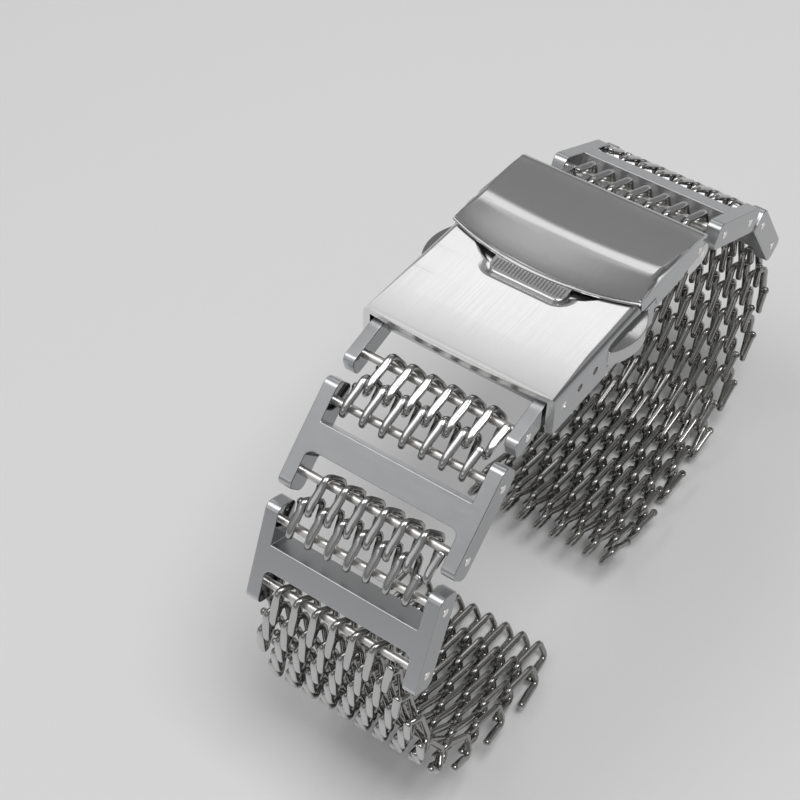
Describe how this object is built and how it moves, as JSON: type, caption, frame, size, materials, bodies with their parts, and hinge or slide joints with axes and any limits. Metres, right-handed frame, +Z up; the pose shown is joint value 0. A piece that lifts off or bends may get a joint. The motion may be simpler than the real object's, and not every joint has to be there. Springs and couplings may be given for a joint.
{
  "type": "watch bracelet",
  "caption": "Steel coil-mesh watch bracelet closed in a loop, with H-shaped links and a folding clasp with a flip lock.",
  "frame": {"origin": "middle of the loop's width and length, on the surface that it stands on", "axes": "+X across the band, +Y from the adjustment end of the clasp to its far end, +Z up"},
  "size_m": [0.0262, 0.0802, 0.0564],
  "materials": {
    "wire": "polished steel wire with ground tops",
    "link": "satin top, polished sides",
    "pin": "drawn steel",
    "spring": "drawn spring wire",
    "button": "polished",
    "cover": "fine satin",
    "lock": "fine satin",
    "blade": "fine satin"
  },
  "bodies": {
    "lower_blade": {"lower_blade": "blade", "catch_peg": "pin", "blade_pin": "pin", "end_pin": "pin"},
    "upper_blade": {"upper_blade": "blade"},
    "cover": {"cover": "cover", "cover_pin": "pin", "flip_lock_pin": "pin", "spring_bar": "pin", "button_spring": "spring"},
    "flip_lock": {"flip_lock": "lock"},
    "button_left": {"button_left": "button"},
    "button_right": {"button_right": "button"},
    "u_link": {"u_link": "link", "u_link_pin": "pin"},
    "strip_coil_1": {"strip_coil_1": "wire"},
    "strip_coil_2": {"strip_coil_2": "wire"},
    "h_link_1": {"h_link_1": "link", "h_pins_1": "pin"},
    "strip_coil_3": {"strip_coil_3": "wire"},
    "strip_coil_4": {"strip_coil_4": "wire"},
    "h_link_2": {"h_link_2": "link", "h_pins_2": "pin"},
    "front_coil_1": {"front_coil_1": "wire"},
    "front_coil_2": {"front_coil_2": "wire"},
    "front_coil_3": {"front_coil_3": "wire"},
    "front_coil_4": {"front_coil_4": "wire"},
    "front_coil_5": {"front_coil_5": "wire"},
    "front_coil_6": {"front_coil_6": "wire"},
    "front_coil_7": {"front_coil_7": "wire"},
    "front_coil_8": {"front_coil_8": "wire"},
    "front_coil_9": {"front_coil_9": "wire"},
    "front_coil_10": {"front_coil_10": "wire"},
    "front_coil_11": {"front_coil_11": "wire"},
    "front_coil_12": {"front_coil_12": "wire"},
    "front_coil_13": {"front_coil_13": "wire"},
    "strip_coil_5": {"strip_coil_5": "wire"},
    "strip_coil_6": {"strip_coil_6": "wire"},
    "h_link_3": {"h_link_3": "link", "h_pins_3": "pin"},
    "strip_coil_7": {"strip_coil_7": "wire"},
    "strip_coil_8": {"strip_coil_8": "wire"},
    "h_link_4": {"h_link_4": "link", "h_pins_4": "pin"},
    "back_coil_1": {"back_coil_1": "wire"},
    "back_coil_2": {"back_coil_2": "wire"},
    "back_coil_3": {"back_coil_3": "wire"},
    "back_coil_4": {"back_coil_4": "wire"},
    "back_coil_5": {"back_coil_5": "wire"},
    "back_coil_6": {"back_coil_6": "wire"},
    "back_coil_7": {"back_coil_7": "wire"},
    "back_coil_8": {"back_coil_8": "wire"},
    "back_coil_9": {"back_coil_9": "wire"},
    "back_coil_10": {"back_coil_10": "wire"},
    "back_coil_11": {"back_coil_11": "wire"},
    "back_coil_12": {"back_coil_12": "wire"},
    "back_coil_13": {"back_coil_13": "wire"},
    "back_coil_14": {"back_coil_14": "wire"},
    "back_coil_15": {"back_coil_15": "wire"}
  },
  "joints": [
    {"name": "blade_hinge", "type": "hinge", "parent": "lower_blade", "child": "upper_blade", "pos_m": [0, -0.00306, 0.05054], "axis": [1, 0, 0], "range_deg": [0, 150]},
    {"name": "cover_hinge", "type": "hinge", "parent": "upper_blade", "child": "cover", "pos_m": [0, 0.01341, 0.04826], "axis": [1, 0, 0], "range_deg": [-150, 0]},
    {"name": "flip_lock_hinge", "type": "hinge", "parent": "cover", "child": "flip_lock", "pos_m": [0, 0.01664, 0.04916], "axis": [-1, 0, 0], "range_deg": [0, 90]},
    {"name": "button_left_press", "type": "slide", "parent": "cover", "child": "button_left", "axis": [1, 0, 0], "range_m": [0, 0.0012], "stiffness_N_per_m": 600, "springref_m": -0.001, "deforming": ["button_spring"]},
    {"name": "button_right_press", "type": "slide", "parent": "cover", "child": "button_right", "axis": [-1, 0, 0], "range_m": [0, 0.0012], "stiffness_N_per_m": 600, "springref_m": -0.001},
    {"name": "u_link_hinge", "type": "hinge", "parent": "cover", "child": "u_link", "pos_m": [0, -0.01099, 0.05376], "axis": [1, 0, 0], "range_deg": [-12, 1.2]},
    {"name": "strip_coil_1_hinge", "type": "hinge", "parent": "u_link", "child": "strip_coil_1", "pos_m": [0, -0.01598, 0.05341], "axis": [1, 0, 0], "range_deg": [-9.81, 0.99]},
    {"name": "strip_coil_2_hinge", "type": "hinge", "parent": "strip_coil_1", "child": "strip_coil_2", "pos_m": [0, -0.01873, 0.05261], "axis": [1, 0, 0], "range_deg": [-7.61, 0.77]},
    {"name": "h_link_1_hinge", "type": "hinge", "parent": "strip_coil_2", "child": "h_link_1", "pos_m": [0, -0.02132, 0.05136], "axis": [1, 0, 0], "range_deg": [-5.41, 0.55]},
    {"name": "strip_coil_3_hinge", "type": "hinge", "parent": "h_link_1", "child": "strip_coil_3", "pos_m": [0, -0.02806, 0.04706], "axis": [1, 0, 0], "range_deg": [-3.21, 0.33]},
    {"name": "strip_coil_4_hinge", "type": "hinge", "parent": "strip_coil_3", "child": "strip_coil_4", "pos_m": [0, -0.03037, 0.04536], "axis": [1, 0, 0], "range_deg": [-6.81, 0.69]},
    {"name": "h_link_2_hinge", "type": "hinge", "parent": "strip_coil_4", "child": "h_link_2", "pos_m": [0, -0.0324, 0.04333], "axis": [1, 0, 0], "range_deg": [-10.41, 1.05]},
    {"name": "front_coil_1_hinge", "type": "hinge", "parent": "h_link_2", "child": "front_coil_1", "pos_m": [0, -0.03664, 0.03654], "axis": [1, 0, 0], "range_deg": [-14, 0.84]},
    {"name": "front_coil_2_hinge", "type": "hinge", "parent": "front_coil_1", "child": "front_coil_2", "pos_m": [0, -0.03776, 0.0331], "axis": [1, 0, 0], "range_deg": [-10.34, 0.63]},
    {"name": "front_coil_3_hinge", "type": "hinge", "parent": "front_coil_2", "child": "front_coil_3", "pos_m": [0, -0.03827, 0.02933], "axis": [1, 0, 0], "range_deg": [-6.68, 0.41]},
    {"name": "front_coil_4_hinge", "type": "hinge", "parent": "front_coil_3", "child": "front_coil_4", "pos_m": [0, -0.03833, 0.02554], "axis": [1, 0, 0], "range_deg": [-3.01, 0.19]},
    {"name": "front_coil_5_hinge", "type": "hinge", "parent": "front_coil_4", "child": "front_coil_5", "pos_m": [0, -0.0382, 0.02174], "axis": [1, 0, 0], "range_deg": [-6.68, 0.41]},
    {"name": "front_coil_6_hinge", "type": "hinge", "parent": "front_coil_5", "child": "front_coil_6", "pos_m": [0, -0.03763, 0.01798], "axis": [1, 0, 0], "range_deg": [-10.34, 0.63]},
    {"name": "front_coil_7_hinge", "type": "hinge", "parent": "front_coil_6", "child": "front_coil_7", "pos_m": [0, -0.03639, 0.01439], "axis": [1, 0, 0], "range_deg": [-14.01, 0.85]},
    {"name": "front_coil_8_hinge", "type": "hinge", "parent": "front_coil_7", "child": "front_coil_8", "pos_m": [0, -0.03432, 0.0112], "axis": [1, 0, 0], "range_deg": [-12.18, 0.74]},
    {"name": "front_coil_9_hinge", "type": "hinge", "parent": "front_coil_8", "child": "front_coil_9", "pos_m": [0, -0.03163, 0.00852], "axis": [1, 0, 0], "range_deg": [-10.34, 0.63]},
    {"name": "front_coil_10_hinge", "type": "hinge", "parent": "front_coil_9", "child": "front_coil_10", "pos_m": [0, -0.02849, 0.00637], "axis": [1, 0, 0], "range_deg": [-8.51, 0.52]},
    {"name": "front_coil_11_hinge", "type": "hinge", "parent": "front_coil_10", "child": "front_coil_11", "pos_m": [0, -0.02508, 0.0047], "axis": [1, 0, 0], "range_deg": [-6.68, 0.41]},
    {"name": "front_coil_12_hinge", "type": "hinge", "parent": "front_coil_11", "child": "front_coil_12", "pos_m": [0, -0.02149, 0.00345], "axis": [1, 0, 0], "range_deg": [-4.84, 0.3]},
    {"name": "front_coil_13_hinge", "type": "hinge", "parent": "front_coil_12", "child": "front_coil_13", "pos_m": [0, -0.01781, 0.00249], "axis": [1, 0, 0], "range_deg": [-3.01, 0.19]},
    {"name": "strip_coil_5_hinge", "type": "hinge", "parent": "lower_blade", "child": "strip_coil_5", "pos_m": [0, 0.01867, 0.04596], "axis": [-1, 0, 0], "range_deg": [-7, 0.56]},
    {"name": "strip_coil_6_hinge", "type": "hinge", "parent": "strip_coil_5", "child": "strip_coil_6", "pos_m": [0, 0.0214, 0.04507], "axis": [-1, 0, 0], "range_deg": [-7.81, 0.63]},
    {"name": "h_link_3_hinge", "type": "hinge", "parent": "strip_coil_6", "child": "h_link_3", "pos_m": [0, 0.02398, 0.04382], "axis": [-1, 0, 0], "range_deg": [-8.61, 0.7]},
    {"name": "strip_coil_7_hinge", "type": "hinge", "parent": "h_link_3", "child": "strip_coil_7", "pos_m": [0, 0.03058, 0.0393], "axis": [-1, 0, 0], "range_deg": [-9.41, 0.76]},
    {"name": "strip_coil_8_hinge", "type": "hinge", "parent": "strip_coil_7", "child": "strip_coil_8", "pos_m": [0, 0.03265, 0.03732], "axis": [-1, 0, 0], "range_deg": [-10.21, 0.83]},
    {"name": "h_link_4_hinge", "type": "hinge", "parent": "strip_coil_8", "child": "h_link_4", "pos_m": [0, 0.03434, 0.035], "axis": [-1, 0, 0], "range_deg": [-11.01, 0.89]},
    {"name": "back_coil_1_hinge", "type": "hinge", "parent": "h_link_4", "child": "back_coil_1", "pos_m": [0, 0.03772, 0.02775], "axis": [-1, 0, 0], "range_deg": [-15, 0.9]},
    {"name": "back_coil_2_hinge", "type": "hinge", "parent": "back_coil_1", "child": "back_coil_2", "pos_m": [0, 0.03835, 0.02418], "axis": [-1, 0, 0], "range_deg": [-12.68, 0.77]},
    {"name": "back_coil_3_hinge", "type": "hinge", "parent": "back_coil_2", "child": "back_coil_3", "pos_m": [0, 0.03817, 0.02038], "axis": [-1, 0, 0], "range_deg": [-10.34, 0.63]},
    {"name": "back_coil_4_hinge", "type": "hinge", "parent": "back_coil_3", "child": "back_coil_4", "pos_m": [0, 0.03732, 0.01668], "axis": [-1, 0, 0], "range_deg": [-8.01, 0.49]},
    {"name": "back_coil_5_hinge", "type": "hinge", "parent": "back_coil_4", "child": "back_coil_5", "pos_m": [0, 0.03596, 0.01313], "axis": [-1, 0, 0], "range_deg": [-9.01, 0.55]},
    {"name": "back_coil_6_hinge", "type": "hinge", "parent": "back_coil_5", "child": "back_coil_6", "pos_m": [0, 0.03406, 0.00984], "axis": [-1, 0, 0], "range_deg": [-10.01, 0.61]},
    {"name": "back_coil_7_hinge", "type": "hinge", "parent": "back_coil_6", "child": "back_coil_7", "pos_m": [0, 0.03161, 0.00693], "axis": [-1, 0, 0], "range_deg": [-11.01, 0.67]},
    {"name": "back_coil_8_hinge", "type": "hinge", "parent": "back_coil_7", "child": "back_coil_8", "pos_m": [0, 0.02866, 0.00454], "axis": [-1, 0, 0], "range_deg": [-12.01, 0.73]},
    {"name": "back_coil_9_hinge", "type": "hinge", "parent": "back_coil_8", "child": "back_coil_9", "pos_m": [0, 0.02527, 0.00282], "axis": [-1, 0, 0], "range_deg": [-13.01, 0.79]},
    {"name": "back_coil_10_hinge", "type": "hinge", "parent": "back_coil_9", "child": "back_coil_10", "pos_m": [0, 0.02159, 0.0019], "axis": [-1, 0, 0], "range_deg": [-9.68, 0.59]},
    {"name": "back_coil_11_hinge", "type": "hinge", "parent": "back_coil_10", "child": "back_coil_11", "pos_m": [0, 0.0178, 0.00161], "axis": [-1, 0, 0], "range_deg": [-6.34, 0.39]},
    {"name": "back_coil_12_hinge", "type": "hinge", "parent": "back_coil_11", "child": "back_coil_12", "pos_m": [0, 0.014, 0.00174], "axis": [-1, 0, 0], "range_deg": [-3.01, 0.19]},
    {"name": "back_coil_13_hinge", "type": "hinge", "parent": "back_coil_12", "child": "back_coil_13", "pos_m": [0, 0.01022, 0.00207], "axis": [-1, 0, 0], "range_deg": [-6.68, 0.41]},
    {"name": "back_coil_14_hinge", "type": "hinge", "parent": "back_coil_13", "child": "back_coil_14", "pos_m": [0, 0.00649, 0.00284], "axis": [-1, 0, 0], "range_deg": [-10.34, 0.63]},
    {"name": "back_coil_15_hinge", "type": "hinge", "parent": "back_coil_14", "child": "back_coil_15", "pos_m": [0, 0.00297, 0.00426], "axis": [-1, 0, 0], "range_deg": [-14.01, 0.85]}
  ],
  "couplings": [
    {"joint": "cover_hinge", "follows": "blade_hinge", "ratio": -1},
    {"joint": "strip_coil_1_hinge", "follows": "u_link_hinge", "ratio": 0.81667},
    {"joint": "strip_coil_2_hinge", "follows": "u_link_hinge", "ratio": 0.63333},
    {"joint": "h_link_1_hinge", "follows": "u_link_hinge", "ratio": 0.45},
    {"joint": "strip_coil_3_hinge", "follows": "u_link_hinge", "ratio": 0.26667},
    {"joint": "strip_coil_4_hinge", "follows": "u_link_hinge", "ratio": 0.56667},
    {"joint": "h_link_2_hinge", "follows": "u_link_hinge", "ratio": 0.86667},
    {"joint": "front_coil_2_hinge", "follows": "front_coil_1_hinge", "ratio": 0.73809},
    {"joint": "front_coil_3_hinge", "follows": "front_coil_1_hinge", "ratio": 0.47619},
    {"joint": "front_coil_4_hinge", "follows": "front_coil_1_hinge", "ratio": 0.21429},
    {"joint": "front_coil_5_hinge", "follows": "front_coil_1_hinge", "ratio": 0.47619},
    {"joint": "front_coil_6_hinge", "follows": "front_coil_1_hinge", "ratio": 0.73809},
    {"joint": "front_coil_7_hinge", "follows": "front_coil_1_hinge", "ratio": 1},
    {"joint": "front_coil_8_hinge", "follows": "front_coil_1_hinge", "ratio": 0.86905},
    {"joint": "front_coil_9_hinge", "follows": "front_coil_1_hinge", "ratio": 0.73809},
    {"joint": "front_coil_10_hinge", "follows": "front_coil_1_hinge", "ratio": 0.60714},
    {"joint": "front_coil_11_hinge", "follows": "front_coil_1_hinge", "ratio": 0.47619},
    {"joint": "front_coil_12_hinge", "follows": "front_coil_1_hinge", "ratio": 0.34524},
    {"joint": "front_coil_13_hinge", "follows": "front_coil_1_hinge", "ratio": 0.21429},
    {"joint": "strip_coil_6_hinge", "follows": "strip_coil_5_hinge", "ratio": 1.1143},
    {"joint": "h_link_3_hinge", "follows": "strip_coil_5_hinge", "ratio": 1.2286},
    {"joint": "strip_coil_7_hinge", "follows": "strip_coil_5_hinge", "ratio": 1.3429},
    {"joint": "strip_coil_8_hinge", "follows": "strip_coil_5_hinge", "ratio": 1.4571},
    {"joint": "h_link_4_hinge", "follows": "strip_coil_5_hinge", "ratio": 1.5714},
    {"joint": "back_coil_2_hinge", "follows": "back_coil_1_hinge", "ratio": 0.84445},
    {"joint": "back_coil_3_hinge", "follows": "back_coil_1_hinge", "ratio": 0.68889},
    {"joint": "back_coil_4_hinge", "follows": "back_coil_1_hinge", "ratio": 0.53333},
    {"joint": "back_coil_5_hinge", "follows": "back_coil_1_hinge", "ratio": 0.6},
    {"joint": "back_coil_6_hinge", "follows": "back_coil_1_hinge", "ratio": 0.66667},
    {"joint": "back_coil_7_hinge", "follows": "back_coil_1_hinge", "ratio": 0.73333},
    {"joint": "back_coil_8_hinge", "follows": "back_coil_1_hinge", "ratio": 0.8},
    {"joint": "back_coil_9_hinge", "follows": "back_coil_1_hinge", "ratio": 0.86667},
    {"joint": "back_coil_10_hinge", "follows": "back_coil_1_hinge", "ratio": 0.64445},
    {"joint": "back_coil_11_hinge", "follows": "back_coil_1_hinge", "ratio": 0.42222},
    {"joint": "back_coil_12_hinge", "follows": "back_coil_1_hinge", "ratio": 0.2},
    {"joint": "back_coil_13_hinge", "follows": "back_coil_1_hinge", "ratio": 0.44444},
    {"joint": "back_coil_14_hinge", "follows": "back_coil_1_hinge", "ratio": 0.68889},
    {"joint": "back_coil_15_hinge", "follows": "back_coil_1_hinge", "ratio": 0.93333}
  ]
}
